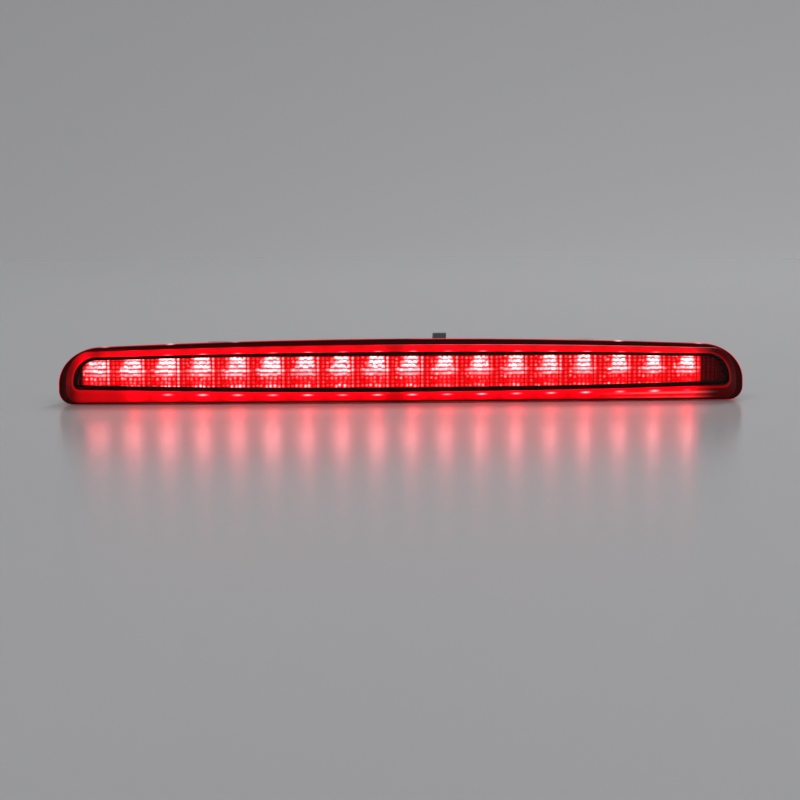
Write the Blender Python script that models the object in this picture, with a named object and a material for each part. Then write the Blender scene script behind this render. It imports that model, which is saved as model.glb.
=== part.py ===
"""Third brake light: a slim red LED lamp that clips into a slot in a tailgate.

The lens faces -Y, the lamp is long in X, and it stands on its lower edge at Z = 0.
Sizes are in millimetres. Depths (Y) are measured from the back of the lens flange, and
ORIGIN_DEPTH then moves the whole lamp so that the origin is below its middle.
"""

from collections import namedtuple
from math import cos, pi, radians, sin, sqrt

import bmesh
import bpy
from mathutils import Matrix, Vector

MM = 0.001
GAP = 0.3  # between pieces that touch on the real lamp

# Outside
HALF_LENGTH = 175.0
HEIGHT = 32.5
LENS_FRONT = -10.5  # the window's middle
CONNECTOR_REAR = 50.0
ORIGIN_DEPTH = (LENS_FRONT + CONNECTOR_REAR) / 2

# Lens
CROWN = 2.0  # how much further forward the window is at its middle than at its ends
WALL_CROWN = 1.0
FLANGE_THICKNESS = 2.5
LENS_THICKNESS = 2.1
BEZEL_WIDTH = 1.8

# Housing and gasket
HOUSING_FRONT = GAP
HOUSING_FLANGE = 2.0
HOUSING_INSET = 4.5
HOUSING_WALL = 1.8
FLOOR_FRONT = 27.0
FLOOR_REAR = 29.5
GASKET_FRONT = HOUSING_FRONT + HOUSING_FLANGE + GAP
GASKET_REAR = GASKET_FRONT + 3.0

# Light row
LED_COUNT = 18
LED_PITCH = 17.7
LED_ROW_CENTRE = -4.2
LED_HEIGHT = 16.2  # the row's height above the lamp's lower edge
CELL_HALF_HEIGHT = 6.4
CELLS_LEFT = -163.0
CELLS_RIGHT = 154.2
REFLECTOR_FRONT = -1.0
REFLECTOR_REAR = 9.2
BOARD_FRONT = 11.5
BOARD_THICKNESS = 1.6
BOARD_REAR = BOARD_FRONT + BOARD_THICKNESS
BOARD_HALF_LENGTH = 166.0
SCREW_X = 162.6

# Fixings
HOOK_X = 100.0
HOOK_FRONT = 8.6
CLIP_X = 95.0
CLIP_WIDTH = 10.0
CLIP_THICKNESS = 0.6
CLIP_BASE_HEIGHT = 26.5
FOLD_RADIUS = 1.4
FOLD_DEPTH = 22.5
FOLD_HEIGHT = CLIP_BASE_HEIGHT + FOLD_RADIUS

# Connector
CONNECTOR_X = 21.0
PIN_SPACING = 7.0
PIN_HEIGHT = 19.4
BLADE_WIDTH = 2.8
BLADE_THICKNESS = 0.8
VENT_X = -30.0

# Stations along an outline
CORNER_STEPS = 8
SPAN_STEPS = 12

# An arched edge falls away from its middle on the given radius (None is straight), and its
# corner is a quarter ellipse with the given half width and half height.
Outline = namedtuple("Outline", "half_width top top_radius top_corner bottom bottom_radius bottom_corner")

LAMP = Outline(HALF_LENGTH, HEIGHT, 3600.0, (21.0, 18.0), 0.0, None, (7.0, 7.0))
SHOULDER = Outline(170.9, 29.9, 4600.0, (12.2, 15.5), 1.3, None, (6.0, 6.0))
FACE = Outline(166.8, 26.7, 6000.0, (11.0, 12.4), 6.1, 6300.0, (3.0, 3.0))
CELL_BLOCK = Outline(164.0, 23.0, 9600.0, (10.0, 11.0), 8.9, 8300.0, (3.0, 3.0))

RED_LENS = ("red_lens", (0.55, 0.004, 0.012), 0.12, 0.0)
CLEAR_OPTIC = ("clear_optic", (0.85, 0.25, 0.25), 0.08, 0.0)
BLACK_PLASTIC = ("black_plastic", (0.015, 0.015, 0.016), 0.45, 0.0)
BEZEL_BLACK = ("bezel_black", (0.008, 0.006, 0.007), 0.3, 0.0)
MIRROR = ("reflector_aluminium", (0.85, 0.85, 0.86), 0.15, 1.0)
BOARD_WHITE = ("board_white", (0.75, 0.76, 0.74), 0.4, 0.0)
LED_RED = ("led_red", (0.9, 0.05, 0.04), 0.2, 0.0)
CERAMIC = ("chip_black", (0.03, 0.03, 0.035), 0.5, 0.0)
FOAM = ("foam_black", (0.03, 0.03, 0.03), 0.9, 0.0)
RUBBER = ("seal_rubber", (0.12, 0.03, 0.02), 0.7, 0.0)
SPRING_STEEL = ("spring_steel", (0.42, 0.43, 0.45), 0.3, 1.0)
ZINC = ("zinc_screw", (0.6, 0.6, 0.58), 0.35, 1.0)
TINNED = ("tinned_brass", (0.72, 0.7, 0.66), 0.3, 1.0)
CONNECTOR_GREY = ("connector_grey", (0.22, 0.22, 0.23), 0.5, 0.0)
VENT_GREY = ("vent_grey", (0.1, 0.1, 0.11), 0.5, 0.0)
MEMBRANE = ("membrane_white", (0.8, 0.8, 0.78), 0.8, 0.0)


# ---------------------------------------------------------------- outlines

def inset(outline, distance):
    """The outline moved inward by a distance, with its corners kept round."""
    return outline._replace(
        half_width=outline.half_width - distance,
        top=outline.top - distance,
        top_corner=[max(size - distance, 0.6) for size in outline.top_corner],
        bottom=outline.bottom + distance,
        bottom_corner=[max(size - distance, 0.4) for size in outline.bottom_corner],
    )


def edge_fall(x, half_width, radius, corner):
    """How far an arched edge with a rounded corner has moved from its middle's height at x."""
    arch = 0.0 if radius is None else x ** 2 / (2 * radius)
    past = max(abs(x) - (half_width - corner[0]), 0.0) / corner[0]
    return arch + corner[1] * (1 - sqrt(max(1 - past ** 2, 0.0)))


def top_edge(outline, x):
    return outline.top - edge_fall(x, outline.half_width, outline.top_radius, outline.top_corner)


def bottom_edge(outline, x):
    return outline.bottom + edge_fall(x, outline.half_width, outline.bottom_radius, outline.bottom_corner)


def stations(outline):
    """X positions from the left end to the right, closer together round the corners."""
    corner = outline.top_corner[0]
    corner_x = outline.half_width - corner
    right = [corner_x + corner * sin(pi / 2 * i / CORNER_STEPS) for i in range(1, CORNER_STEPS + 1)]
    middle = [corner_x * (2 * i / SPAN_STEPS - 1) for i in range(SPAN_STEPS + 1)]
    return [-x for x in reversed(right)] + middle + right


def ring(outline, depth, crown=0.0):
    """The outline as points in space: its top from left to right, then its bottom back."""
    def point(x, z):
        forward = crown * (1 - (x / HALF_LENGTH) ** 2)
        return (x, depth - forward, z)

    xs = stations(outline)
    top = [point(x, top_edge(outline, x)) for x in xs]
    bottom = [point(x, bottom_edge(outline, x)) for x in xs]
    return top + bottom[::-1]


# ---------------------------------------------------------------- mesh makers

def loft(rings, hollow=False):
    """A solid through the rings: capped at both ends, or hollow with its last ring joined to its first."""
    bm = bmesh.new()
    loops = [[bm.verts.new(point) for point in points] for points in rings]
    pairs = list(zip(loops, loops[1:]))
    if hollow:
        pairs.append((loops[-1], loops[0]))
    count = len(rings[0])
    for loop, following in pairs:
        for i in range(count):
            j = (i + 1) % count
            bm.faces.new((loop[i], loop[j], following[j], following[i]))
    if not hollow:
        for loop in (loops[0], loops[-1]):
            for i in range(count // 2 - 1):
                bm.faces.new((loop[i], loop[i + 1], loop[count - 2 - i], loop[count - 1 - i]))
    return bm


def box(bm, xs, ys, zs):
    """Adds a box between the given lowest and highest x, y and z."""
    middle = Vector([(pair[0] + pair[1]) / 2 for pair in (xs, ys, zs)])
    size = [pair[1] - pair[0] for pair in (xs, ys, zs)]
    made = bmesh.ops.create_cube(bm, size=1.0)
    matrix = Matrix.Translation(middle) @ Matrix.Diagonal((*size, 1.0))
    bmesh.ops.transform(bm, matrix=matrix, verts=made["verts"])


def frustum(bm, front, rear):
    """Adds a four-sided taper between two rectangles, each given as xs, depth, zs."""
    loops = []
    for xs, depth, zs in (front, rear):
        corners = ((xs[0], zs[0]), (xs[1], zs[0]), (xs[1], zs[1]), (xs[0], zs[1]))
        loops.append([bm.verts.new((x, depth, z)) for x, z in corners])
    for i in range(4):
        j = (i + 1) % 4
        bm.faces.new((loops[0][i], loops[0][j], loops[1][j], loops[1][i]))
    bm.faces.new(loops[0])
    bm.faces.new(loops[1])


def prism(bm, profile, xs):
    """Adds a solid with a profile in Y and Z, extruded in X."""
    low = [bm.verts.new((xs[0], y, z)) for y, z in profile]
    high = [bm.verts.new((xs[1], y, z)) for y, z in profile]
    count = len(profile)
    for i in range(count):
        j = (i + 1) % count
        bm.faces.new((low[i], low[j], high[j], high[i]))
    bm.faces.new(low)
    bm.faces.new(high)


def turned(bm, profile, x, z, segments=20):
    """Adds a solid turned round an axis along Y. The profile is (radius, y) from axis to axis."""
    loops = []
    for radius, y in profile:
        if radius == 0:
            loops.append([bm.verts.new((x, y, z))] * segments)
            continue
        angles = [2 * pi * i / segments for i in range(segments)]
        loops.append([bm.verts.new((x + radius * cos(a), y, z + radius * sin(a))) for a in angles])
    for loop, following in zip(loops, loops[1:]):
        for i in range(segments):
            j = (i + 1) % segments
            corners = dict.fromkeys((loop[i], loop[j], following[j], following[i]))
            bm.faces.new(tuple(corners))


def strip_profile(path, thickness):
    """The outline of a bent strip from the (y, z) points along its middle."""
    sides = ([], [])
    for i, (y, z) in enumerate(path):
        before = Vector(path[max(i - 1, 0)])
        after = Vector(path[min(i + 1, len(path) - 1)])
        along = (after - before).normalized()
        for side, sign in zip(sides, (-1, 1)):
            side.append((y - sign * along.y * thickness / 2, z + sign * along.x * thickness / 2))
    return sides[0] + sides[1][::-1]


def arc(centre, radius, start, end, steps):
    """Points (y, z) on a circle, from one angle in degrees to another."""
    angles = [radians(start + (end - start) * i / steps) for i in range(steps + 1)]
    return [(centre[0] + radius * cos(a), centre[1] + radius * sin(a)) for a in angles]


# ---------------------------------------------------------------- objects

def make_material(look):
    name, colour, roughness, metallic = look
    found = bpy.data.materials.get(name)
    if found:
        return found
    material = bpy.data.materials.new(name)
    material.use_nodes = True
    shader = material.node_tree.nodes["Principled BSDF"]
    shader.inputs["Base Color"].default_value = (*colour, 1.0)
    shader.inputs["Roughness"].default_value = roughness
    shader.inputs["Metallic"].default_value = metallic
    material.diffuse_color = (*colour, 1.0)
    return material


def signed_volume(faces):
    """The volume that the faces enclose, negative where they point inward."""
    total = 0.0
    for face in faces:
        first, *others = [vert.co for vert in face.verts]
        total += sum(first.dot(a.cross(b)) for a, b in zip(others, others[1:]))
    return total / 6


def turn_outward(bm):
    """Reverses each separate closed surface that points inward."""
    waiting = set(bm.faces)
    while waiting:
        surface = {waiting.pop()}
        edge_of = set(surface)
        while edge_of:
            near = {other for face in edge_of for edge in face.edges for other in edge.link_faces}
            edge_of = near - surface
            surface |= edge_of
        waiting -= surface
        if signed_volume(surface) < 0:
            bmesh.ops.reverse_faces(bm, faces=list(surface))


def add_object(name, bm, look, origin=(0.0, 0.0, 0.0)):
    """Turns a mesh in millimetres into an object whose origin is at a point of the lamp."""
    bmesh.ops.remove_doubles(bm, verts=bm.verts, dist=0.0001)
    bmesh.ops.recalc_face_normals(bm, faces=bm.faces)
    turn_outward(bm)
    bmesh.ops.transform(bm, matrix=Matrix.Translation(-Vector(origin)), verts=bm.verts)
    bmesh.ops.scale(bm, vec=(MM, MM, MM), verts=bm.verts)
    mesh = bpy.data.meshes.new(name)
    bm.to_mesh(mesh)
    bm.free()
    mesh.materials.append(make_material(look))
    mesh.shade_smooth()
    mesh.set_sharp_from_angle(angle=radians(30))
    return place_mesh(name, mesh, origin)


def place_mesh(name, mesh, origin):
    thing = bpy.data.objects.new(name, mesh)
    x, y, z = origin
    thing.location = (x * MM, (y - ORIGIN_DEPTH) * MM, z * MM)
    bpy.context.scene.collection.objects.link(thing)
    return thing


def combine(target, name, bm, operation, solver="EXACT"):
    """Joins a hidden helper shape to the target, or cuts it away."""
    helper = add_object(name, bm, BLACK_PLASTIC)
    helper.hide_render = True
    helper.display_type = "WIRE"
    modifier = target.modifiers.new(name, "BOOLEAN")
    modifier.operation = operation
    modifier.solver = solver
    modifier.object = helper


# ---------------------------------------------------------------- optical parts

def make_outer_lens():
    """One moulding: a flat flange, a short wall, a sloping bevel and the crowned window."""
    face_edge = LENS_FRONT + CROWN
    inside = inset(SHOULDER, 2.2)
    rings = [
        ring(inset(FACE, 0.5), face_edge, CROWN),
        ring(FACE, face_edge + 0.4, CROWN),
        ring(SHOULDER, -4.6, WALL_CROWN),
        ring(inset(SHOULDER, -0.1), -4.2, WALL_CROWN),
        ring(inset(SHOULDER, -0.3), -FLANGE_THICKNESS),
        ring(inset(LAMP, 0.5), -FLANGE_THICKNESS),
        ring(LAMP, 0.5 - FLANGE_THICKNESS),
        ring(LAMP, 0.0),
        ring(inside, 0.0),
        ring(inside, -3.2, WALL_CROWN),
        ring(inset(FACE, -0.4), face_edge + LENS_THICKNESS, CROWN),
    ]
    add_object("outer_lens", loft(rings), RED_LENS)


def make_inner_bezel():
    front = LENS_FRONT + CROWN + LENS_THICKNESS + GAP
    inner = inset(FACE, BEZEL_WIDTH)
    rings = [
        ring(FACE, front, CROWN),
        ring(FACE, 0.0),
        ring(inner, 0.0),
        ring(inner, front, CROWN),
    ]
    add_object("inner_bezel", loft(rings, hollow=True), BEZEL_BLACK)


def make_optic_plate():
    front = LENS_FRONT + CROWN + 3.6
    outline = inset(FACE, BEZEL_WIDTH + GAP)
    rings = [ring(outline, front, CROWN), ring(outline, front + 1.8, CROWN)]
    add_object("optic_plate", loft(rings), CLEAR_OPTIC)


def led_x(index):
    return LED_ROW_CENTRE + (index - (LED_COUNT - 1) / 2) * LED_PITCH


def cell_mouth(left, right, outline):
    """A cell's front opening, kept inside the reflector's rounded ends."""
    high = min(LED_HEIGHT + CELL_HALF_HEIGHT, top_edge(outline, left), top_edge(outline, right))
    return (left, right), REFLECTOR_FRONT - 0.01, (LED_HEIGHT - CELL_HALF_HEIGHT, high)


def make_reflector():
    """A metallised block with one tapered cell for each LED, narrowing to a hole round it."""
    wall = 0.9
    hole = 2.9
    rings = [ring(CELL_BLOCK, REFLECTOR_FRONT), ring(CELL_BLOCK, REFLECTOR_REAR)]
    reflector = add_object("reflector", loft(rings), MIRROR)
    feet = bmesh.new()
    for index in (2, 6, 11, 15):
        x = (led_x(index) + led_x(index + 1)) / 2
        box(feet, (x - 1, x + 1), (REFLECTOR_REAR - 1, BOARD_FRONT - GAP), (LED_HEIGHT - 3, LED_HEIGHT + 3))
    combine(reflector, "reflector_feet", feet, "UNION", "MANIFOLD")
    cells = bmesh.new()
    for index in range(LED_COUNT):
        x = led_x(index)
        left = CELLS_LEFT if index == 0 else x - LED_PITCH / 2
        right = CELLS_RIGHT if index == LED_COUNT - 1 else x + LED_PITCH / 2
        mouth = cell_mouth(left + wall / 2, right - wall / 2, inset(CELL_BLOCK, wall))
        floor = ((x - hole, x + hole), REFLECTOR_REAR + 0.01, (LED_HEIGHT - hole, LED_HEIGHT + hole))
        frustum(cells, mouth, floor)
    combine(reflector, "reflector_cells", cells, "DIFFERENCE", "MANIFOLD")


# ---------------------------------------------------------------- electrical parts

def pin_xs():
    return [CONNECTOR_X - PIN_SPACING / 2, CONNECTOR_X + PIN_SPACING / 2]


def make_circuit_board():
    half_height = 5.9
    outline = Outline(
        BOARD_HALF_LENGTH, LED_HEIGHT + half_height, None, (10.5, 10.5),
        LED_HEIGHT - half_height, None, (2.0, 2.0),
    )
    board = add_object(
        "circuit_board", loft([ring(outline, BOARD_FRONT), ring(outline, BOARD_REAR)]), BOARD_WHITE
    )
    holes = bmesh.new()
    depths = (BOARD_FRONT - 1, BOARD_REAR + 1)
    for x in (-SCREW_X, SCREW_X):
        turned(holes, tube_end(1.6, *depths), x, LED_HEIGHT, 16)
    for x in pin_xs():
        box(holes, (x - 1.7, x + 1.7), depths, (PIN_HEIGHT - 0.7, PIN_HEIGHT + 0.7))
    combine(board, "board_holes", holes, "DIFFERENCE", "MANIFOLD")


def tube_end(radius, front, rear):
    """The turned profile of a plain round bar."""
    return [(0, front), (radius, front), (radius, rear), (0, rear)]


def make_leds():
    """Square LED packages with a moulded dome; they share one mesh."""
    body = 2.5
    dome = 1.9
    rear = BOARD_FRONT - GAP
    front = rear - 1.7
    x = led_x(0)
    package = bmesh.new()
    box(package, (x - body, x + body), (front, rear), (LED_HEIGHT - body, LED_HEIGHT + body))
    profile = [(0, front - dome)]
    profile += [(dome * sin(a), front - dome * cos(a)) for a in (pi / 6, pi / 3, pi / 2)]
    profile += [(dome, front + 0.4), (0, front + 0.4)]
    domed = bmesh.new()
    turned(domed, profile, x, LED_HEIGHT, 12)
    first = add_object("led_01", merged(package, domed), LED_RED, (x, rear, LED_HEIGHT))
    for index in range(1, LED_COUNT):
        place_mesh(f"led_{index + 1:02d}", first.data, (led_x(index), rear, LED_HEIGHT))


def merged(first, second):
    """One closed body from two overlapping meshes, by an exact union."""
    objects = [add_object(f"merge_{i}", bm, CERAMIC) for i, bm in enumerate((first, second))]
    modifier = objects[0].modifiers.new("merge", "BOOLEAN")
    modifier.operation = "UNION"
    modifier.object = objects[1]
    graph = bpy.context.evaluated_depsgraph_get()
    bm = bmesh.new()
    bm.from_object(objects[0], graph)
    bmesh.ops.scale(bm, vec=(1 / MM, 1 / MM, 1 / MM), verts=bm.verts)
    for thing in objects:
        bpy.data.objects.remove(thing)
    return bm


def make_chips():
    """Six series resistors and the reverse-polarity diode, on the back of the board."""
    front = BOARD_REAR + GAP
    for index, x in enumerate((-135.0, -80.0, -25.0, 50.0, 90.0, 135.0)):
        bm = bmesh.new()
        box(bm, (x - 3.2, x + 3.2), (front, front + 0.7), (LED_HEIGHT - 1.6, LED_HEIGHT + 1.6))
        add_object(f"resistor_{index + 1}", bm, CERAMIC, (x, front, LED_HEIGHT))
    bm = bmesh.new()
    x = 36.0
    box(bm, (x - 2.2, x + 2.2), (front, front + 2.2), (LED_HEIGHT - 1.3, LED_HEIGHT + 1.3))
    add_object("reverse_polarity_diode", bm, CERAMIC, (x, front, LED_HEIGHT))


def make_board_screws():
    head_rear = BOARD_FRONT - GAP
    for name, x in (("board_screw_left", -SCREW_X), ("board_screw_right", SCREW_X)):
        profile = [
            (0, head_rear - 1.6), (1.6, head_rear - 1.6), (2.4, head_rear - 0.6),
            (2.4, head_rear), (1.1, head_rear), (1.1, 20.0), (0, 21.2),
        ]
        bm = bmesh.new()
        turned(bm, profile, x, LED_HEIGHT, 16)
        add_object(name, bm, ZINC, (x, head_rear, LED_HEIGHT))


# ---------------------------------------------------------------- housing

def make_housing():
    front = HOUSING_FRONT
    flange_rear = HOUSING_FRONT + HOUSING_FLANGE
    inside = inset(LAMP, HOUSING_INSET + HOUSING_WALL)
    rings = [
        ring(inside, FLOOR_FRONT),
        ring(inside, front),
        ring(inset(LAMP, 0.5), front),
        ring(inset(LAMP, 0.5), flange_rear),
        ring(inset(LAMP, HOUSING_INSET), flange_rear),
        ring(inset(LAMP, HOUSING_INSET + 1.5), FLOOR_REAR - 1.3),
        ring(inset(LAMP, HOUSING_INSET + 2.8), FLOOR_REAR),
    ]
    housing = add_object("housing", loft(rings), BLACK_PLASTIC)
    combine(housing, "housing_hooks", hooks(), "UNION")
    combine(housing, "housing_rails", clip_rails(), "UNION")
    combine(housing, "housing_back", back_features(), "UNION")
    combine(housing, "housing_supports", board_supports(), "UNION")
    combine(housing, "housing_cuts", housing_cuts(), "DIFFERENCE")
    return housing


def hooks():
    """Two lower hooks that reach down behind the panel's edge, with a ramp at the back.

    The holding face ends below the housing's wall, and the hook meets the wall a step behind it.
    """
    bm = bmesh.new()
    step = HOOK_FRONT + 0.8
    top = 7.4
    face_top = 4.2
    profile = [
        (HOOK_FRONT, 0.0), (12.5, 0.0), (19.0, 3.2), (19.0, top),
        (step, top), (step, face_top), (HOOK_FRONT, face_top),
    ]
    for x in (-HOOK_X, HOOK_X):
        prism(bm, profile, (x - 7.0, x + 7.0))
    return bm


def clip_rails():
    """Low walls on the housing's top, on both sides of each clip and behind it."""
    bm = bmesh.new()
    gap = CLIP_WIDTH / 2 + 0.4
    for x in (-CLIP_X, CLIP_X):
        for side in (-1, 1):
            edges = sorted((x + side * gap, x + side * (gap + 1.6)))
            box(bm, edges, (13.2, 25.6), (24.6, 28.1))
        box(bm, (x - gap + 0.4, x + gap - 0.4), (24.9, 25.9), (24.2, 26.8))
    return bm


def back_features():
    """On the back: a raised seat for the connector, a ring for the vent and stiffening ribs."""
    bm = bmesh.new()
    box(bm, (CONNECTOR_X - 10.5, CONNECTOR_X + 10.5), (FLOOR_FRONT + 1, 31.5), (10.3, 25.9))
    turned(bm, tube_end(6.6, FLOOR_FRONT + 1, 31.5), VENT_X, LED_HEIGHT, 28)
    for x in (-150.0, -128.0, -106.0, -84.0, -62.0, 54.0, 76.0, 98.0, 120.0, 142.0):
        box(bm, (x - 0.7, x + 0.7), (FLOOR_FRONT + 1, 31.0), (9.2, 23.0))
    return bm


def board_supports():
    """Inside: a round post for each board screw and four pads that back the board."""
    bm = bmesh.new()
    front = BOARD_REAR + GAP
    for x in (-SCREW_X, SCREW_X):
        turned(bm, tube_end(3.0, front, FLOOR_FRONT + 1), x, LED_HEIGHT, 20)
    for x in (-108.0, -52.0, 68.0, 112.0):
        box(bm, (x - 1.0, x + 1.0), (front, FLOOR_FRONT + 1), (LED_HEIGHT - 4, LED_HEIGHT + 4))
    return bm


def housing_cuts():
    bm = bmesh.new()
    for x in (-CLIP_X, CLIP_X):
        box(bm, (x - 5.4, x + 5.4), (6.4, 12.6), (25.5, 29.0))
    for x in (-SCREW_X, SCREW_X):
        turned(bm, tube_end(1.4, 10.0, 23.0), x, LED_HEIGHT, 16)
    turned(bm, tube_end(2.2, FLOOR_FRONT - 2, 33.0), VENT_X, LED_HEIGHT, 20)
    box(bm, (CONNECTOR_X - 7.3, CONNECTOR_X + 7.3), (FLOOR_FRONT - 2, 33.0), (15.2, 24.2))
    return bm


def make_gasket():
    outer = inset(LAMP, 1.2)
    inner = inset(LAMP, HOUSING_INSET - GAP)
    rings = [
        ring(outer, GASKET_FRONT),
        ring(outer, GASKET_REAR),
        ring(inner, GASKET_REAR),
        ring(inner, GASKET_FRONT),
    ]
    add_object("sealing_gasket", loft(rings, hollow=True), FOAM)


def make_vent():
    """A breather: a membrane on its ring, under a cap with a skirt."""
    bm = bmesh.new()
    turned(bm, tube_end(5.4, 31.8, 32.2), VENT_X, LED_HEIGHT, 24)
    add_object("vent_membrane", bm, MEMBRANE, (VENT_X, 31.8, LED_HEIGHT))
    profile = [
        (0, 33.3), (6.95, 33.3), (6.95, 30.4), (7.9, 30.4), (7.9, 34.0), (7.3, 34.6), (0, 34.6),
    ]
    bm = bmesh.new()
    turned(bm, profile, VENT_X, LED_HEIGHT, 28)
    add_object("vent_cap", bm, VENT_GREY, (VENT_X, 33.3, LED_HEIGHT))


# ---------------------------------------------------------------- connector

def make_connector():
    x = CONNECTOR_X
    flange_front = 32.8
    bm = bmesh.new()
    box(bm, (x - 7.0, x + 7.0), (20.0, 36.0), (15.5, 23.9))
    header = add_object("connector_header", bm, CONNECTOR_GREY)

    body = bmesh.new()
    box(body, (x - 9.9, x + 9.9), (flange_front, 35.0), (11.0, 26.6))
    combine(header, "header_flange", body, "UNION")
    shroud = bmesh.new()
    box(shroud, (x - 8.5, x + 8.5), (34.0, CONNECTOR_REAR), (14.2, 26.2))
    combine(header, "header_shroud", shroud, "UNION")
    latch = bmesh.new()
    ramp = [(38.0, 25.0), (38.0, 31.8), (41.0, 31.8), (48.6, 27.2), (48.6, 25.0)]
    prism(latch, ramp, (x - 3.5, x + 3.5))
    for side in (-1, 1):
        edges = sorted((x + side * 6.5, x + side * 7.9))
        box(latch, edges, (24.2, FLOOR_FRONT - GAP), (17.5, 22.0))
    combine(header, "header_latches", latch, "UNION")
    cuts = bmesh.new()
    box(cuts, (x - 7.1, x + 7.1), (37.0, CONNECTOR_REAR + 1), (15.6, 24.8))
    combine(header, "header_socket", cuts, "DIFFERENCE")
    slots = bmesh.new()
    for pin_x in pin_xs():
        box(slots, (pin_x - 1.7, pin_x + 1.7), (19.0, 38.0), (PIN_HEIGHT - 0.7, PIN_HEIGHT + 0.7))
    combine(header, "header_slots", slots, "DIFFERENCE")

    seal = bmesh.new()
    box(seal, (x - 9.5, x + 9.5), (31.8, flange_front - GAP), (11.4, 26.2))
    ring_seal = add_object("connector_seal", seal, RUBBER)
    opening = bmesh.new()
    box(opening, (x - 7.6, x + 7.6), (31.0, flange_front + 1), (14.9, 24.5))
    combine(ring_seal, "seal_opening", opening, "DIFFERENCE")


def blade_section(x, depth, half_width):
    """The corners of a blade's cross section, in order round it."""
    low = PIN_HEIGHT - BLADE_THICKNESS / 2
    high = PIN_HEIGHT + BLADE_THICKNESS / 2
    return [(x - half_width, depth, low), (x + half_width, depth, low),
            (x + half_width, depth, high), (x - half_width, depth, high)]


def make_pins():
    """Two blades from the board to the socket, each narrowing at its end."""
    for index, x in enumerate(pin_xs()):
        sections = [
            blade_section(x, BOARD_FRONT - 0.8, BLADE_WIDTH / 2),
            blade_section(x, 44.5, BLADE_WIDTH / 2),
            blade_section(x, 46.0, 0.3 * BLADE_WIDTH),
        ]
        add_object(f"terminal_pin_{index + 1}", loft(sections), TINNED, (x, BOARD_FRONT, PIN_HEIGHT))


# ---------------------------------------------------------------- spring clips

def make_clips():
    """Each clip is one bent strip, parted at its fold so that the leaf can turn there.

    The leaf runs forward to a crest that holds behind the panel's edge, and ends in a lead-in.
    """
    fold = (FOLD_DEPTH, FOLD_HEIGHT)
    base_path = [(13.4, CLIP_BASE_HEIGHT)] + arc(fold, FOLD_RADIUS, -90, -8, 4)
    crest = [(11.6, 29.6), (10.4, 29.7), (9.6, 29.3), (8.3, 28.3)]
    leaf_path = arc(fold, FOLD_RADIUS, 8, 90, 4) + crest
    for side, x in (("left", -CLIP_X), ("right", CLIP_X)):
        xs = (x - CLIP_WIDTH / 2, x + CLIP_WIDTH / 2)
        base = bmesh.new()
        prism(base, strip_profile(base_path, CLIP_THICKNESS), xs)
        add_object(f"{side}_clip_base", base, SPRING_STEEL, (x, *fold))
        leaf = bmesh.new()
        prism(leaf, strip_profile(leaf_path, CLIP_THICKNESS), xs)
        add_object(f"{side}_clip_leaf", leaf, SPRING_STEEL, (x, *fold))


def main():
    for thing in list(bpy.data.objects):
        bpy.data.objects.remove(thing)
    make_outer_lens()
    make_inner_bezel()
    make_optic_plate()
    make_reflector()
    make_circuit_board()
    make_leds()
    make_chips()
    make_board_screws()
    make_housing()
    make_gasket()
    make_vent()
    make_connector()
    make_pins()
    make_clips()


main()
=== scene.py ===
"""The looks of the third brake light, lit, standing on a pale floor.

Sizes are in millimetres in the lamp's own terms: x along it, depth back from the lens flange's
rear face, z up from its lower edge. place() turns them into metres in the frame.
"""

from collections import namedtuple
from math import radians

import bmesh
import bpy
import numpy as np
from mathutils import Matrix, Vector


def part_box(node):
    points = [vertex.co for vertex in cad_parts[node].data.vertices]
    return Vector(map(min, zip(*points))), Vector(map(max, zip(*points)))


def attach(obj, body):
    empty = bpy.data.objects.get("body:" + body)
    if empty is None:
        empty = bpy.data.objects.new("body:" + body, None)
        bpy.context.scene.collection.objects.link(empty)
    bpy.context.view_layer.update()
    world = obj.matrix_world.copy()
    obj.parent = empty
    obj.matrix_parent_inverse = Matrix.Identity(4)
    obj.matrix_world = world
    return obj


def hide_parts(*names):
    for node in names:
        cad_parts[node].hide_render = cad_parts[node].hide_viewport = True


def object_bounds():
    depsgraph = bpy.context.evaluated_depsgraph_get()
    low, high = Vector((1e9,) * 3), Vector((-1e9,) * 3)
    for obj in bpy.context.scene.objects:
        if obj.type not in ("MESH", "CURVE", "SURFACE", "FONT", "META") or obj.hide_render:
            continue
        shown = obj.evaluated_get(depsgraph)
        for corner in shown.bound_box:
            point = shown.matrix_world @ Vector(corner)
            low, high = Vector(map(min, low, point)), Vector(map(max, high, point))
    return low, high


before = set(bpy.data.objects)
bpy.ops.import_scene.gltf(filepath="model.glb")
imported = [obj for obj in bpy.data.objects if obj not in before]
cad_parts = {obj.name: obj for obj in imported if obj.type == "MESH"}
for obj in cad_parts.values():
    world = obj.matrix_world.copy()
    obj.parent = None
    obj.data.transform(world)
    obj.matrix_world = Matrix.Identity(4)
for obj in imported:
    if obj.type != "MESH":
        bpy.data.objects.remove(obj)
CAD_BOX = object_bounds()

MM = 0.001
BODY = "lamp"
LENS_LOW, LENS_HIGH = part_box("outer_lens")
FLANGE_BACK = LENS_HIGH[1] / MM
HALF_LENGTH = LENS_HIGH[0] / MM
HEIGHT = LENS_HIGH[2] / MM
LENS_FRONT = (LENS_LOW[1] - LENS_HIGH[1]) / MM

# The lens and its window, as in the CAD model
CROWN = 2.0
WALL_CROWN = 1.0
FLANGE_THICKNESS = 2.5
LENS_THICKNESS = 2.1
WALL_THICKNESS = 2.2
FACE_EDGE = LENS_FRONT + CROWN
SHOULDER_DEPTH = -4.6
INNER_SHOULDER_DEPTH = -3.2
WALL_DRAFT = 0.3
INNER_FACE_MARGIN = 0.4

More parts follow.
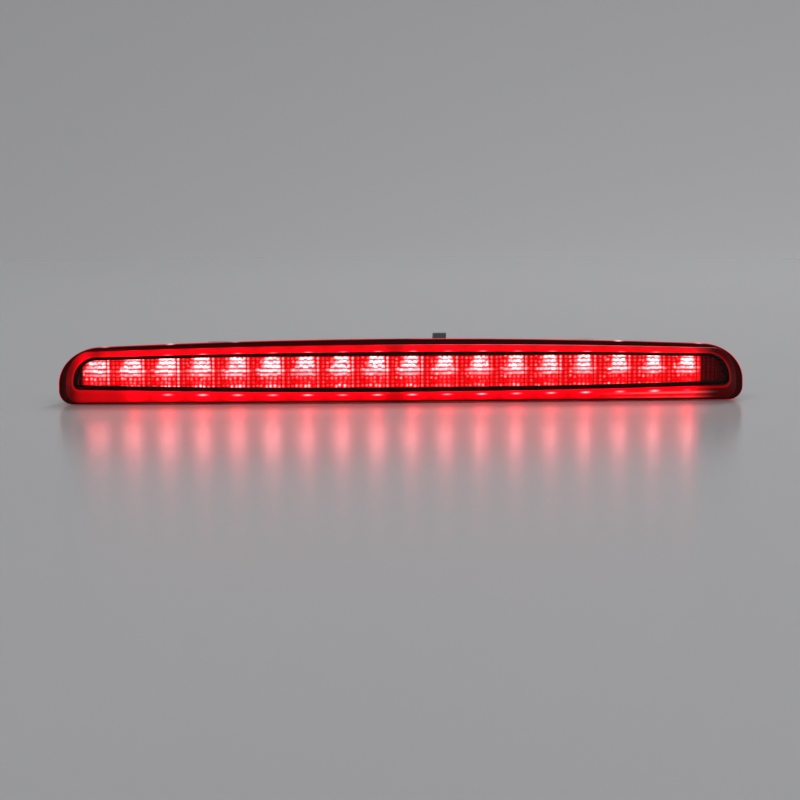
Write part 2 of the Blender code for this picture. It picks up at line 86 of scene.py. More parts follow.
# Small edges of the lens moulding
STEP_WIDTH = 0.5
STEP_DEPTH = 0.4
RIM_FRONT_EDGE = 0.5
RIM_BACK_EDGE = 0.25
SHOULDER_ROUNDING = 0.35
FOOT_ROUNDING = 0.4
RIM_ROUNDING = 0.3
BEVEL_STEPS = 20

# The light row, from the first and last LED, and where the lit part of the optics ends
FIRST_LED = (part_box("led_01")[0][0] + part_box("led_01")[1][0]) / 2 / MM
LAST_LED = (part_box("led_18")[0][0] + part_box("led_18")[1][0]) / 2 / MM
LED_COUNT = 18
LED_PITCH = (LAST_LED - FIRST_LED) / (LED_COUNT - 1)
LED_XS = FIRST_LED + LED_PITCH * np.arange(LED_COUNT)
LIT_LEFT = -162.0
LIT_RIGHT = 152.4
LIT_BLUR = 0.4

# Pillow optics
PILLOWS_PER_LED = 8
PILLOW_ROWS = 8
PILLOW_WIDTH = LED_PITCH / PILLOWS_PER_LED
PILLOW_BULGE = 0.28
PILLOW_STEPS = 8
SHADED_TOP = 0.4  # the unlit strip above the pillows
OPTIC_DEPTH = 3.6  # from the window's edge back to the pillows' crests
OPTIC_BACKING = 1.5

# Light
DEEP_RED = np.array((1.0, 0.0, 0.0045))
HOT_WHITE = np.array((1.0, 0.76, 0.8))
SPARK_PINK = np.array((1.0, 0.42, 0.46))
RIM_RED = np.array((1.0, 0.01, 0.03))
HOT_STRENGTH = 3.4
SEED = 11

# An arched edge falls away from its middle on the given radius (None is straight), and its
# corner is a quarter ellipse with the given half width and half height.
Outline = namedtuple("Outline", "half_width top top_radius top_corner bottom bottom_radius bottom_corner")
LAMP = Outline(HALF_LENGTH, HEIGHT, 3600.0, (21.0, 18.0), 0.0, None, (7.0, 7.0))
SHOULDER = Outline(170.9, 29.9, 4600.0, (12.2, 15.5), 1.3, None, (6.0, 6.0))
FACE = Outline(166.8, 26.7, 6000.0, (11.0, 12.4), 6.1, 6300.0, (3.0, 3.0))
CORNER_STEPS = 28
SPAN_STEPS = 348


# ---------------------------------------------------------------- outlines

def inset(outline, distance):
    """The outline moved inward by a distance, with its corners kept round."""
    return outline._replace(
        half_width=outline.half_width - distance,
        top=outline.top - distance,
        top_corner=[max(size - distance, 0.6) for size in outline.top_corner],
        bottom=outline.bottom + distance,
        bottom_corner=[max(size - distance, 0.4) for size in outline.bottom_corner],
    )


def edge_fall(x, half_width, radius, corner):
    """How far an arched edge with a rounded corner has moved from its middle's height, for each x."""
    arch = 0.0 if radius is None else x ** 2 / (2 * radius)
    past = np.maximum(np.abs(x) - (half_width - corner[0]), 0.0) / corner[0]
    return arch + corner[1] * (1 - np.sqrt(np.maximum(1 - past ** 2, 0.0)))


def top_edge(outline, x):
    return outline.top - edge_fall(x, outline.half_width, outline.top_radius, outline.top_corner)


def bottom_edge(outline, x):
    return outline.bottom + edge_fall(x, outline.half_width, outline.bottom_radius, outline.bottom_corner)


def stations(outline):
    """X positions from the left end to the right, closer together round the corners."""
    corner = outline.top_corner[0]
    corner_x = outline.half_width - corner
    turn = np.linspace(0, np.pi / 2, CORNER_STEPS + 1)[1:]
    right = corner_x + corner * np.sin(turn)
    middle = np.linspace(-corner_x, corner_x, SPAN_STEPS + 1)
    return np.concatenate([-right[::-1], middle, right])


def ring(outline, depth, crown=0.0):
    """The outline as points in space: its top from left to right, then its bottom back."""
    xs = stations(outline)
    forward = crown * (1 - (xs / HALF_LENGTH) ** 2)
    top = np.stack([xs, depth - forward, top_edge(outline, xs)], axis=1)
    bottom = np.stack([xs, depth - forward, bottom_edge(outline, xs)], axis=1)
    return np.concatenate([top, bottom[::-1]])


def between(first, last, steps):
    """Rings spaced evenly between two rings, without the two themselves."""
    return [first + (last - first) * i / steps for i in range(1, steps)]


def fillet(before, corner, after, radius, steps=3):
    """Rings that round off a corner ring between its neighbours."""
    def toward(other):
        way = other - corner
        length = np.linalg.norm(way, axis=1, keepdims=True)
        return corner + way * np.minimum(radius / np.maximum(length, 1e-6), 0.45)

    start = toward(before)
    end = toward(after)
    ts = np.linspace(0, 1, steps + 1)
    return [start * (1 - t) ** 2 + corner * 2 * t * (1 - t) + end * t ** 2 for t in ts]


# ---------------------------------------------------------------- mesh makers

def place(points):
    """Lamp millimetres to metres in the frame."""
    return (np.asarray(points) + (0.0, FLANGE_BACK, 0.0)) * MM


def new_object(name, points, faces, materials, face_material=None, glow=None):
    mesh = bpy.data.meshes.new(name)
    mesh.from_pydata(place(points).tolist(), [], faces)
    for material in materials:
        mesh.materials.append(material)
    if face_material is not None:
        mesh.polygons.foreach_set("material_index", face_material)
    if glow is not None:
        layer = mesh.attributes.new("glow", "FLOAT_COLOR", "POINT")
        layer.data.foreach_set("color", np.column_stack([glow, np.ones(len(glow))]).ravel())
    mesh.validate()
    mesh.shade_smooth()
    piece = bpy.data.objects.new(name, mesh)
    bpy.context.scene.collection.objects.link(piece)
    return piece


def skin_faces(ring_count, size):
    """Quads between consecutive rings."""
    faces = []
    for r in range(ring_count - 1):
        a = r * size
        b = a + size
        faces += [(a + i, b + i, b + (i + 1) % size, a + (i + 1) % size) for i in range(size)]
    return faces


def cap_faces(start, size, flip):
    """Quads that close one ring, each from its top edge to its bottom edge."""
    faces = []
    for i in range(size // 2 - 1):
        face = (start + i, start + i + 1, start + size - 2 - i, start + size - 1 - i)
        faces.append(face[::-1] if flip else face)
    return faces


def finish_piece(piece, replaced=(), body=BODY):
    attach(piece, body)
    if replaced:
        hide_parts(*replaced)
    return piece


# ---------------------------------------------------------------- materials

def new_material(name, colour, roughness, metallic=0.0, specular=0.5):
    material = bpy.data.materials.new(name)
    material.use_nodes = True
    shader = material.node_tree.nodes["Principled BSDF"]
    shader.inputs["Base Color"].default_value = (*colour, 1.0)
    shader.inputs["Roughness"].default_value = roughness
    shader.inputs["Metallic"].default_value = metallic
    shader.inputs["Specular IOR Level"].default_value = specular
    return material


def add_node(material, kind, **inputs):
    node = material.node_tree.nodes.new(kind)
    for key, value in inputs.items():
        node.inputs[key.replace("_", " ")].default_value = value
    return node


def link(material, source, target):
    material.node_tree.links.new(source, target)


def shader_of(material):
    return material.node_tree.nodes["Principled BSDF"]


def object_noise(material, scale, detail=3.0, stretch=(1.0, 1.0, 1.0)):
    """Noise on object coordinates, with its scale per metre."""
    coords = material.node_tree.nodes.new("ShaderNodeTexCoord")
    mapping = material.node_tree.nodes.new("ShaderNodeMapping")
    mapping.inputs["Scale"].default_value = stretch
    link(material, coords.outputs["Object"], mapping.inputs["Vector"])
    noise = add_node(material, "ShaderNodeTexNoise", Scale=scale, Detail=detail, Roughness=0.6)
    link(material, mapping.outputs["Vector"], noise.inputs["Vector"])
    return noise.outputs["Fac"]


def ramp(material, source, low, high, colours):
    """A colour ramp from one colour to the other between two values."""
    node = material.node_tree.nodes.new("ShaderNodeValToRGB")
    node.color_ramp.elements[0].position = low
    node.color_ramp.elements[1].position = high
    for element, colour in zip(node.color_ramp.elements, colours):
        element.color = (*colour, 1.0)
    link(material, source, node.inputs["Fac"])
    return node.outputs["Color"]


def spread(material, source, low, high):
    """Maps 0.3 to 0.7 of a noise to a range of values."""
    node = material.node_tree.nodes.new("ShaderNodeMapRange")
    node.inputs["From Min"].default_value = 0.3
    node.inputs["From Max"].default_value = 0.7
    node.inputs["To Min"].default_value = low
    node.inputs["To Max"].default_value = high
    link(material, source, node.inputs["Value"])
    return node.outputs["Result"]


def add_bump(material, source, distance):
    bump = add_node(material, "ShaderNodeBump", Strength=1.0, Distance=distance)
    link(material, source, bump.inputs["Height"])
    link(material, bump.outputs["Normal"], shader_of(material).inputs["Normal"])


def moulded_plastic(name, colour, roughness, grain_scale=2600.0, grain=0.00003, specular=0.5):
    """Moulded plastic: a fine spark-eroded grain, faint flow marks and uneven gloss."""
    material = new_material(name, colour, roughness, specular=specular)
    shader = shader_of(material)
    lighter = [c * 1.6 + 0.002 for c in colour]
    tone = object_noise(material, 45.0, 4.0)
    link(material, ramp(material, tone, 0.3, 0.75, (colour, lighter)), shader.inputs["Base Color"])
    gloss = object_noise(material, 160.0, 4.0)
    link(material, spread(material, gloss, roughness - 0.07, roughness + 0.1), shader.inputs["Roughness"])
    add_bump(material, object_noise(material, grain_scale, 2.0), grain)
    return material


def metal(name, colour, roughness, stretch, tint):
    """Metal with a fine grain, drawn out into lines by stretch, and a slight change of tint."""
    material = new_material(name, colour, roughness, 1.0)
    shader = shader_of(material)
    tone = object_noise(material, 120.0, 3.0)
    link(material, ramp(material, tone, 0.35, 0.7, (colour, tint)), shader.inputs["Base Color"])
    lines = object_noise(material, 900.0, 3.0, stretch)
    link(material, spread(material, lines, roughness - 0.08, roughness + 0.14), shader.inputs["Roughness"])
    add_bump(material, lines, 0.000015)
    return material


def glow_material(name, colour, roughness, coat=0.06):
    """Red acrylic that gives off the light stored in the mesh's glow colours."""
    material = new_material(name, colour, roughness, specular=0.1)
    shader = shader_of(material)
    shader.inputs["Coat Weight"].default_value = coat
    shader.inputs["Coat Roughness"].default_value = 0.03
    shader.inputs["Emission Strength"].default_value = 1.0
    light = material.node_tree.nodes.new("ShaderNodeAttribute")
    light.attribute_name = "glow"
    link(material, light.outputs["Color"], shader.inputs["Emission Color"])
    tone = object_noise(material, 60.0, 3.0)
    darker = [c * 0.7 for c in colour]
    link(material, ramp(material, tone, 0.3, 0.7, (colour, darker)), shader.inputs["Base Color"])
    gloss = object_noise(material, 300.0, 3.0)
    link(material, spread(material, gloss, roughness * 0.7, roughness * 1.4), shader.inputs["Roughness"])
    return material


def window_material():
    """Clear red-tinted acrylic, faintly wavy from moulding. Its low index keeps reflections weak."""
    material = new_material("window_acrylic", (1.0, 0.5, 0.52), 0.0)
    shader = shader_of(material)
    shader.inputs["Transmission Weight"].default_value = 1.0
    shader.inputs["IOR"].default_value = 1.17
    add_bump(material, object_noise(material, 25.0, 1.0), 0.00002)
    return material


# ---------------------------------------------------------------- light patterns

def nearest_led(x):
    """For each x, the distance from the middle of the nearest LED, and that LED's number."""
    index = np.abs(x[:, None] - LED_XS[None, :]).argmin(axis=1)
    return x - LED_XS[index], index


def bell(value, width):
    return np.exp(-(value / width) ** 2)


def smooth_step(value, start, end):
    t = np.clip((value - start) / (end - start), 0, 1)
    return t * t * (3 - 2 * t)


def red_light(level):
    """Red at a level; above three quarters it is strong enough to light the floor too."""
    return (level * (1 + 1.3 * smooth_step(level, 0.75, 1.15)))[:, None] * DEEP_RED


def bevel_level(x, across, is_top):
    """How bright the bevel's red is: a soft pulse at each LED, dimmer in the middle and at the ends.

    across is 0 at the bevel's outer edge and 1 beside the window.
    """
    away, _ = nearest_led(x)
    pulse = bell(away, 5.0)
    left_end = smooth_step(-x, 162.0, 168.5)
    right_end = smooth_step(x, 145.0, 160.0)
    level = (0.8 + 0.26 * pulse) * (1 - 0.24 * bell(x + 4.0, 6.0))
    if is_top:
        level = level * (1 - 0.5 * bell(x + 155.0, 3.5))  # a dark patch before the first LED
    else:
        level = level * (1 - 0.4 * smooth_step(-x, 126.0, 158.0))
    level = level * (1 - 0.8 * left_end) * (1 - 0.95 * right_end)
    level = level * (1 - 0.3 * bell(across, 0.14)) * (1 + 0.22 * bell(across - 0.9, 0.14))
    drift = 0.05 * np.sin(x / 23.0) + 0.04 * np.sin(x / 7.3 + 1.0)
    left_line = 0.3 * left_end * bell(across - 0.9, 0.1)
    right_line = 0.25 * right_end * bell(across - 0.88, 0.09)
    return level + drift * pulse + (left_line + right_line)


def bevel_sparks(x, across, is_top):
    """Pink highlights on the bevel: a spark at each LED but the end ones, and two low streaks."""
    away, led = nearest_led(x)
    if is_top:
        spark = bell(away - 0.3, 1.4) * bell(across - 0.98, 0.07)
        streak = 0.0
    else:
        spark = 2.4 * bell(away + 0.1, 1.6) * bell(across - 0.68, 0.06)
        tail = smooth_step(x, 95.0, 135.0) * (1 - smooth_step(x, 148.0, 163.0))
        streak = tail * (0.26 * bell(across - 0.5, 0.07) + 0.1 * bell(across - 0.12, 0.06))
    middle = (1 - smooth_step(-x, 118.0, 131.0)) * (1 - smooth_step(x, 136.0, 148.0))
    return spark * middle * (0.75 + 0.25 * np.sin(led * 2.4)) + streak


def bevel_glow(points, across, is_top):
    x = points[:, 0]
    sparks = bevel_sparks(x, across, is_top)
    return red_light(bevel_level(x, across, is_top)) + sparks[:, None] * SPARK_PINK


# Bright points on the rim: x and strength
RIM_SPARKS = ((-151.0, 0.5), (-118.0, 1.1), (-85.0, 0.35), (110.5, 1.5), (152.0, 0.6))


def rim_glow(points, top):
    """The flange's edge, which pipes some light round the lens."""
    x = points[:, 0]
    wave = 0.55 + 0.25 * np.sin(x / 11.0) + 0.2 * np.sin(x / 4.1 + 1.0)
    level = np.where(top, 0.26 + 0.34 * wave, 0.12 + 0.06 * wave)
    level = level * (1 - 0.7 * bell(x, 7.0))
    level = level + 0.5 * smooth_step(-x, 172.0, 174.5) + 0.4 * smooth_step(x, 164.0, 174.0)
    spark = sum(strength * bell(x - place, 1.5) for place, strength in RIM_SPARKS) * top
    return level[:, None] * RIM_RED + spark[:, None] * SPARK_PINK


def lens_glow(points, zone, across):
    """Light for one ring of the lens: zone says which part of the section it is on."""
    count = len(points)
    top = np.arange(count) < count // 2
    if zone == "bevel":
        glow = np.where(top[:, None], bevel_glow(points, across, True), bevel_glow(points, across, False))
    elif zone == "rim":
        glow = rim_glow(points, top)
    elif zone == "wall":
        glow = np.full((count, 1), 0.02) * DEEP_RED
    else:
        glow = np.zeros((count, 3))
    return glow


# ---------------------------------------------------------------- lens

def lens_rings():
    """The lens section from the window's edge, over the bevel and flange, and back inside.

    Returns rings with the part of the section that each is on and how far up the bevel it is.
    """
    window = ring(inset(FACE, STEP_WIDTH), FACE_EDGE, CROWN)
    step = ring(FACE, FACE_EDGE + STEP_DEPTH, CROWN)
    shoulder = ring(SHOULDER, SHOULDER_DEPTH, WALL_CROWN)
    foot = ring(inset(SHOULDER, -WALL_DRAFT), -FLANGE_THICKNESS)
    rim_in = ring(inset(LAMP, RIM_FRONT_EDGE), -FLANGE_THICKNESS)
    rim = ring(LAMP, RIM_FRONT_EDGE - FLANGE_THICKNESS)
    rim_back = ring(LAMP, -RIM_BACK_EDGE)
    back = ring(inset(LAMP, RIM_BACK_EDGE), 0.0)
    inside = inset(SHOULDER, WALL_THICKNESS)
    back_in = ring(inside, 0.0)
    inner_wall = ring(inside, INNER_SHOULDER_DEPTH, WALL_CROWN)
    inner_face = ring(inset(FACE, -INNER_FACE_MARGIN), FACE_EDGE + LENS_THICKNESS, CROWN)

    made = [(window, "window", 1.0), (step, "step", 1.0)]
    bevel = [step] + between(step, shoulder, BEVEL_STEPS)
    made += [(r, "bevel", 1 - i / BEVEL_STEPS) for i, r in enumerate(bevel)]
    edge = fillet(step, shoulder, foot, SHOULDER_ROUNDING)
    made += [(r, "bevel" if i < 2 else "wall", 0.0) for i, r in enumerate(edge)]
    made += [(r, "wall", 0.0) for r in fillet(shoulder, foot, rim_in, FOOT_ROUNDING)]
    made += [(rim_in, "flange", 0.0)]
    made += [(r, "rim", 0.0) for r in fillet(rim_in, rim, rim_back, RIM_ROUNDING)]
    made += [(rim_back, "rim", 0.0), (back, "flange", 0.0)]
    made += [(back_in, "flange", 0.0), (inner_wall, "wall", 0.0), (inner_face, "inside", 0.0)]
    return made


def make_lens():
    rings = lens_rings()
    size = len(rings[0][0])
    points = np.concatenate([points for points, _, _ in rings])
    glow = np.concatenate([lens_glow(points, zone, across) for points, zone, across in rings])
    faces = skin_faces(len(rings), size)
    band = np.repeat([0 if zone == "window" else 1 for _, zone, _ in rings[:-1]], size).tolist()
    front = cap_faces(0, size, flip=False)
    rear = cap_faces((len(rings) - 1) * size, size, flip=True)
    indices = band + [0] * (len(front) + len(rear))
    acrylic = glow_material("red_acrylic", (0.04, 0.0004, 0.0008), 0.1)
    materials = [window_material(), acrylic]
    piece = new_object("lens_moulding", points, faces + front + rear, materials, indices, glow)
    outward(piece)
    piece.data.set_sharp_from_angle(angle=radians(24))
    finish_piece(piece, ["outer_lens"])


def outward(piece):
    """Makes every face of a closed mesh point out."""
    bm = bmesh.new()
    bm.from_mesh(piece.data)
    bmesh.ops.recalc_face_normals(bm, faces=bm.faces)
    if bm.calc_volume(signed=True) < 0:
        bmesh.ops.reverse_faces(bm, faces=bm.faces)
    bm.to_mesh(piece.data)
    bm.free()


# ---------------------------------------------------------------- pillow optics

# How bright each row's images of the LED are, from the top row down, and how far in
# millimetres they reach to the left and right of the LED
ROW_LEVELS = (2.1, 2.2, 2.1, 1.7, 0.8, 0.16, 0.08, 0.6)
ROW_REACH = (3.3, 3.6, 3.9, 5.2, 4.6, 4.2, 3.2, 2.9)
COLUMN_ROW_LEVELS = (1.5, 1.5, 1.3, 1.6, 0.5, 0.2, 0.12, 0.3)  # the same for the bright column
LINE_ROWS = (3, 4)  # the rows whose images join into bright lines
ARC_ROWS = (0, 1, 2)  # the rows whose images are small arcs
DIM_ROWS = (5, 6, 7)  # the rows of dots, which are brighter towards the left end
SPECKLESS_ROW = 6


def image_shape(u, v, row):
    """How bright a pillow is at u, v from its middle: an arc, part of a line, or a dot."""
    arc = bell(v + 0.14 - 0.7 * u ** 2, 0.29) * bell(u, 0.75)
    line = bell(v, 0.26) * (1 - 0.45 * np.abs(u))
    dot = bell(u, 0.22) * bell(v, 0.26)
    return np.where(np.isin(row, ARC_ROWS), arc, np.where(np.isin(row, LINE_ROWS), line, dot))


def lit_share(x, below_top):
    """1 where the LEDs light the optics and 0 past the row's two ends and above the pillows."""
    past_left = smooth_step(x, LIT_LEFT - LIT_BLUR, LIT_LEFT + LIT_BLUR)
    past_right = smooth_step(x, LIT_RIGHT - LIT_BLUR, LIT_RIGHT + LIT_BLUR)
    return past_left * (1 - past_right) * smooth_step(below_top, 0.0, 0.25)


def pillow_grid(x, z, low, high):
    """Each point's LED, row and column of pillows, and its place from that pillow's middle."""
    away, led = nearest_led(x)
    place_along = away / PILLOW_WIDTH + PILLOWS_PER_LED / 2
    column = np.clip(np.floor(place_along).astype(int), 0, PILLOWS_PER_LED - 1)
    u = place_along - np.floor(place_along) - 0.5
    place_down = (high - z) / (high - low) * PILLOW_ROWS
    row = np.clip(np.floor(place_down).astype(int), 0, PILLOW_ROWS - 1)
    return away, led, row, column, u, place_down - row - 0.5


def block_shade(away, row, u, v, near, seam_x):
    """The pillows' even red painted light: darker at their edges, in the bright block's gaps and at its
    seam.
    """
    seams = (1 - 0.35 * bell(np.abs(v) - 0.5, 0.1)) * (1 - 0.16 * bell(np.abs(u) - 0.5, 0.09))
    block_seams = 1 - 0.6 * near * bell(np.abs(v) - 0.5, 0.13) * (row < DIM_ROWS[0])
    dark_line = 1 - 0.55 * bell(away - seam_x, 0.25) - 0.2 * bell(away - seam_x - 2.0, 0.3)
    return (0.8 + 0.24 * bell(away, 6.0)) * seams * block_seams * dark_line


def faint_glow_streaks(x, u, v):
    """Faint upright streaks of painted glow in the pillows past the ends of the row."""
    return 0.006 + 0.16 * bell(u, 0.2) * (0.4 + 0.6 * bell(v, 0.3)) * (1 - smooth_step(x, 156.0, 164.0))


def pillow_glow(x, z, low, high):
    """Light from the pillow optics: rows and columns of small images of the nearest LED."""
    rng = np.random.default_rng(SEED)
    gains = rng.uniform(0.85, 1.15, LED_COUNT)
    shifts = rng.normal(0.0, 0.3, LED_COUNT)
    column_gains = rng.uniform(0.25, 1.1, LED_COUNT)
    away, led, row, column, u, v = pillow_grid(x, z, low, high)
    pillows = (LED_COUNT, PILLOW_ROWS, PILLOWS_PER_LED)
    pillow_gain = rng.uniform(0.4, 1.25, pillows)[led, row, column]
    jitter_u = rng.normal(0.0, 0.12, pillows)[led, row, column]
    jitter_v = rng.normal(0.0, 0.07, pillows)[led, row, column]
    # grain here is a random speckle in the painted light's brightness, point by point
    grain = rng.uniform(0.3, 1.35, len(x))

    # lean is 1 at the left end, where the light trails away to the left, and 0 at the right end
    lean = 0.5 - 0.5 * np.sin(np.clip(x / 160.0, -1, 1) * np.pi / 2)
    from_middle = away - shifts[led] - 1.4 * lean + 0.3
    reach = np.array(ROW_REACH)[row] * np.where(from_middle < 0, 1 + 0.5 * lean, 0.8)
    near = np.exp(-np.abs(from_middle / reach) ** np.where(np.isin(row, ARC_ROWS), 6, 3))
    dim_gain = np.where(np.isin(row, DIM_ROWS), 1 + 3.0 * lean ** 2, 1.0)
    image = image_shape(u + jitter_u, v + jitter_v, row)
    block = np.array(ROW_LEVELS)[row] * dim_gain * near * image * pillow_gain * gains[led] * grain

    # A dark seam in the painted light on the right of each block, then a narrow bright column and a dim
    # dotted one
    seam_x = 3.9 + 0.6 * lean
    bright = 0.9 * bell(away - seam_x - 0.85, 0.4) * (0.05 + 0.95 * bell(v, 0.26)) * column_gains[led]
    bright = bright * (0.35 + 0.65 * lean) * dim_gain * np.array(COLUMN_ROW_LEVELS)[row]
    dots = 0.1 * bell(away - seam_x - 3.6, 0.34) * bell(v, 0.24) * pillow_gain

    # Scattered bright specks of painted light on the left of each block
    light_specks = 0.5 * bell(from_middle + 6.2, 2.2) * bell(u + jitter_u, 0.2) * bell(v + 2 * jitter_v, 0.2)
    light_specks = light_specks * pillow_gain ** 2 * (row != SPECKLESS_ROW)
    hot = block * (1 - 0.95 * bell(away - seam_x, 0.3)) + bright + dots + light_specks * grain

    lit = lit_share(x, high - z)
    red = block_shade(away, row, u, v, near, seam_x) * lit + faint_glow_streaks(x, u, v) * (1 - lit)
    return red_light(red) + (hot * lit * HOT_STRENGTH)[:, None] * HOT_WHITE


def make_optic():
    """The plate of pillow optics behind the window, cut to the bezel's opening."""
    low_corner, high_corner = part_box("optic_plate")
    half_width = high_corner[0] / MM
    low, high = low_corner[2] / MM, high_corner[2] / MM
    front = FACE_EDGE + OPTIC_DEPTH + PILLOW_BULGE
    outline = inset(FACE, FACE.half_width - half_width)  # the CAD plate's own outline
    columns = int(2 * half_width / PILLOW_WIDTH * PILLOW_STEPS)
    xs = np.linspace(-half_width, half_width, columns + 1)
    zs = np.linspace(low, high, PILLOW_ROWS * PILLOW_STEPS + 1)
    x, z = (grid.ravel() for grid in np.meshgrid(xs, zs))
    z_kept = np.clip(z, bottom_edge(outline, x), top_edge(outline, x))
    high -= SHADED_TOP

    away = x - LED_XS[0]
    u = away / PILLOW_WIDTH - np.floor(away / PILLOW_WIDTH) - 0.5
    rows = (high - z_kept) / (high - low) * PILLOW_ROWS
    v = rows - np.floor(rows) - 0.5
    bulge = PILLOW_BULGE * (1 - 2 * u ** 2 - 2 * v ** 2)
    crown = CROWN * (1 - (x / HALF_LENGTH) ** 2)
    points = np.stack([x, front - crown - bulge, z_kept], axis=1)
    glow = pillow_glow(x, z_kept, low, high)
    width = len(xs)
    faces = [
        (r * width + i, r * width + i + 1, (r + 1) * width + i + 1, (r + 1) * width + i)
        for r in range(len(zs) - 1)
        for i in range(width - 1)
    ]
    optic = glow_material("pillow_acrylic", (0.05, 0.001, 0.002), 0.15, coat=0.0)
    piece = new_object("pillow_optic", points, faces, [optic], glow=glow)
    close_back(piece, OPTIC_BACKING)
    finish_piece(piece, ["optic_plate"])


def close_back(piece, thickness):
    """Gives an open sheet a wall round its edge and a back."""
    bm = bmesh.new()
    bm.from_mesh(piece.data)
    bmesh.ops.remove_doubles(bm, verts=bm.verts, dist=0.00001)
    edges = [edge for edge in bm.edges if edge.is_boundary]
    made = bmesh.ops.extrude_edge_only(bm, edges=edges)
    rim = [item for item in made["geom"] if isinstance(item, bmesh.types.BMVert)]
    bmesh.ops.translate(bm, verts=rim, vec=(0, thickness * MM, 0))
    bmesh.ops.holes_fill(bm, edges=[edge for edge in bm.edges if edge.is_boundary], sides=0)
    bm.to_mesh(piece.data)
    bm.free()
    outward(piece)
    piece.data.set_sharp_from_angle(angle=radians(50))


# ---------------------------------------------------------------- refined CAD pieces

def refined(node, name, width, material, body=BODY, segments=2):
    """A copy of a CAD node with its flat faces made whole and its edges rounded."""
    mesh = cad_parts[node].data.copy()
    mesh.name = name
    bm = bmesh.new()
    bm.from_mesh(mesh)
    bmesh.ops.remove_doubles(bm, verts=bm.verts, dist=0.000002)
    bmesh.ops.dissolve_limit(bm, angle_limit=radians(0.6), verts=bm.verts, edges=bm.edges)
    bm.to_mesh(mesh)
    bm.free()
    mesh.materials.clear()
    mesh.materials.append(material)
    for layer in [item.name for item in mesh.attributes if item.name == "custom_normal"]:
        mesh.attributes.remove(mesh.attributes[layer])
    mesh.shade_smooth()
    mesh.set_sharp_from_angle(angle=radians(28))
    piece = bpy.data.objects.new(name, mesh)
    bpy.context.scene.collection.objects.link(piece)
    bevel = piece.modifiers.new("edges", "BEVEL")
    bevel.width = width * MM
    bevel.segments = segments
    bevel.limit_method = "ANGLE"
    bevel.angle_limit = radians(28)
    return finish_piece(piece, [node], body)


def recolour(nodes, material):
    for node in nodes:
        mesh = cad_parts[node].data
        mesh.materials.clear()
        mesh.materials.append(material)


def dress_pieces():
    black = moulded_plastic("housing_plastic", (0.014, 0.014, 0.015), 0.42)
    refined("housing", "housing_moulding", 0.3, black)
    satin = moulded_plastic("bezel_plastic", (0.002, 0.001, 0.001), 0.5, specular=0.15)
    refined("inner_bezel", "bezel_frame", 0.12, satin)
    grey = moulded_plastic("connector_plastic", (0.17, 0.17, 0.18), 0.45)
    refined("connector_header", "connector_moulding", 0.25, grey)
    dark_grey = moulded_plastic("vent_plastic", (0.07, 0.07, 0.075), 0.5)
    refined("vent_cap", "vent_cover", 0.2, dark_grey)
    foam = moulded_plastic("gasket_foam", (0.022, 0.022, 0.022), 0.85, 900.0, 0.00016)
    refined("sealing_gasket", "foam_gasket", 0.5, foam, segments=3)
    rubber = moulded_plastic("seal_silicone", (0.16, 0.035, 0.02), 0.6)
    refined("connector_seal", "header_seal", 0.12, rubber)
    steel = metal("clip_steel", (0.36, 0.37, 0.39), 0.3, (1.0, 0.08, 0.08), (0.46, 0.44, 0.42))
    for side in ("left", "right"):
        refined(f"{side}_clip_base", f"{side}_clip_foot", 0.12, steel)
        refined(f"{side}_clip_leaf", f"{side}_clip_spring", 0.12, steel, f"{side}_clip_leaf")
    tin = metal("pin_tin", (0.7, 0.68, 0.64), 0.28, (1.0, 0.1, 1.0), (0.78, 0.77, 0.74))
    recolour(["terminal_pin_1", "terminal_pin_2"], tin)
    zinc = metal("screw_zinc", (0.6, 0.6, 0.58), 0.35, (1, 1, 1), (0.7, 0.68, 0.6))
    recolour(["board_screw_left", "board_screw_right"], zinc)
    film = metal("reflector_film", (0.85, 0.85, 0.86), 0.14, (1, 1, 1), (0.9, 0.89, 0.88))
    recolour(["reflector"], film)
    recolour(["circuit_board"], moulded_plastic("solder_mask", (0.72, 0.73, 0.7), 0.4))
    leds = [f"led_{i + 1:02d}" for i in range(LED_COUNT)]
    recolour(leds, moulded_plastic("led_dome", (0.85, 0.06, 0.05), 0.2))
    chips = [f"resistor_{i + 1}" for i in range(6)] + ["reverse_polarity_diode"]
    recolour(chips, moulded_plastic("chip_resin", (0.03, 0.03, 0.035), 0.5))
    recolour(["vent_membrane"], moulded_plastic("membrane_film", (0.8, 0.8, 0.78), 0.8))


# ---------------------------------------------------------------- stage

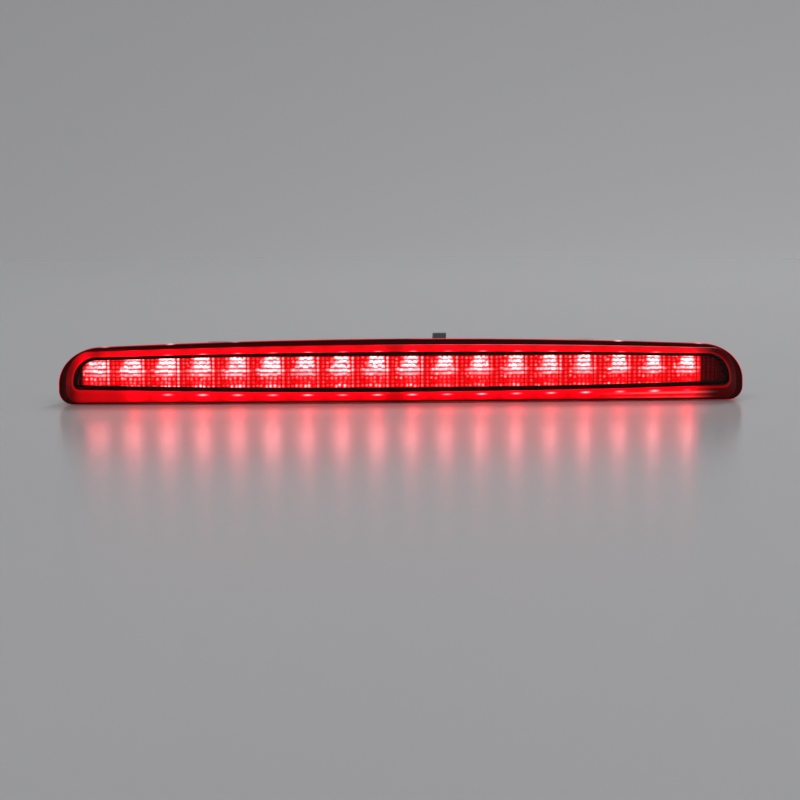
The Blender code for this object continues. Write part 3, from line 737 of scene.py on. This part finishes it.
def make_floor():
    """A pale, slightly polished floor that curves up into a round backdrop."""
    floor_radius = 1.5
    curve = 0.8
    wall_height = 1.0
    segments = 128
    turn = np.linspace(0, np.pi / 2, 13)
    radii = [0.6, 1.2] + list(floor_radius + curve * np.sin(turn)) + [floor_radius + curve]
    heights = [0.0, 0.0] + list(curve - curve * np.cos(turn)) + [wall_height]
    bottom = CAD_BOX[0][2] - 0.0001
    angles = np.linspace(0, 2 * np.pi, segments + 1)[:-1]
    points = [(0.0, 0.0, bottom)]
    for radius, height in zip(radii, heights):
        points += [(radius * np.cos(a), radius * np.sin(a), bottom + height) for a in angles]
    faces = [(0, 1 + i, 1 + (i + 1) % segments) for i in range(segments)]
    for r in range(len(radii) - 1):
        low = 1 + r * segments
        for i in range(segments):
            j = (i + 1) % segments
            faces.append((low + i, low + segments + i, low + segments + j, low + j))
    mesh = bpy.data.meshes.new("floor")
    mesh.from_pydata(points, [], faces)
    mesh.shade_smooth()
    floor = bpy.data.objects.new("floor", mesh)
    bpy.context.scene.collection.objects.link(floor)
    pale = (0.64, 0.64, 0.65)
    mesh.materials.append(new_material("floor_pale", pale, 0.2))
    mesh.materials.append(new_material("backdrop_pale", pale, 0.9, specular=0.2))
    flat_faces = segments * (1 + radii.index(floor_radius))
    indices = [0 if i < flat_faces else 1 for i in range(len(faces))]
    mesh.polygons.foreach_set("material_index", indices)


def make_light():
    """Soft light from all round, with two large lamps in front and one behind."""
    world = bpy.data.worlds.new("studio")
    bpy.context.scene.world = world
    world.use_nodes = True
    background = world.node_tree.nodes["Background"]
    background.inputs["Color"].default_value = (0.78, 0.79, 0.82, 1.0)
    background.inputs["Strength"].default_value = 0.2
    for name, spot, size, power in (
        ("key", (-0.9, -0.9, 1.8), 0.9, 7.0),
        ("fill", (1.2, -0.7, 1.7), 0.9, 4.0),
        ("back", (0.6, 1.2, 1.9), 1.0, 16.0),
    ):
        data = bpy.data.lights.new(name, "AREA")
        data.size = size
        data.energy = power
        lamp = bpy.data.objects.new(name, data)
        lamp.location = spot
        lamp.rotation_euler = (Vector((0, 0, 0.02)) - Vector(spot)).to_track_quat("-Z", "Y").to_euler()
        bpy.context.scene.collection.objects.link(lamp)


def make_camera():
    """A long lens a metre in front, a little above the lamp and to its left."""
    distance = 1.0
    elevation = radians(7.0)
    turn = radians(-2.0)
    frame_width = 0.4102
    aim = Vector((-0.0014, FLANGE_BACK * MM, 0.0008))
    way = Vector((np.sin(turn) * np.cos(elevation), -np.cos(turn) * np.cos(elevation), np.sin(elevation)))
    data = bpy.data.cameras.new("camera")
    data.sensor_width = 36.0
    data.lens = 36.0 * distance / frame_width
    camera = bpy.data.objects.new("camera", data)
    camera.location = aim + way * distance
    rotation = (-way).to_track_quat("-Z", "Y").to_euler()
    rotation.rotate_axis("Z", radians(-0.2))
    camera.rotation_euler = rotation
    bpy.context.scene.collection.objects.link(camera)
    bpy.context.scene.camera = camera


def main():
    bpy.context.scene.view_settings.view_transform = "Standard"
    make_camera()
    make_light()
    make_floor()
    make_lens()
    make_optic()
    dress_pieces()


main()
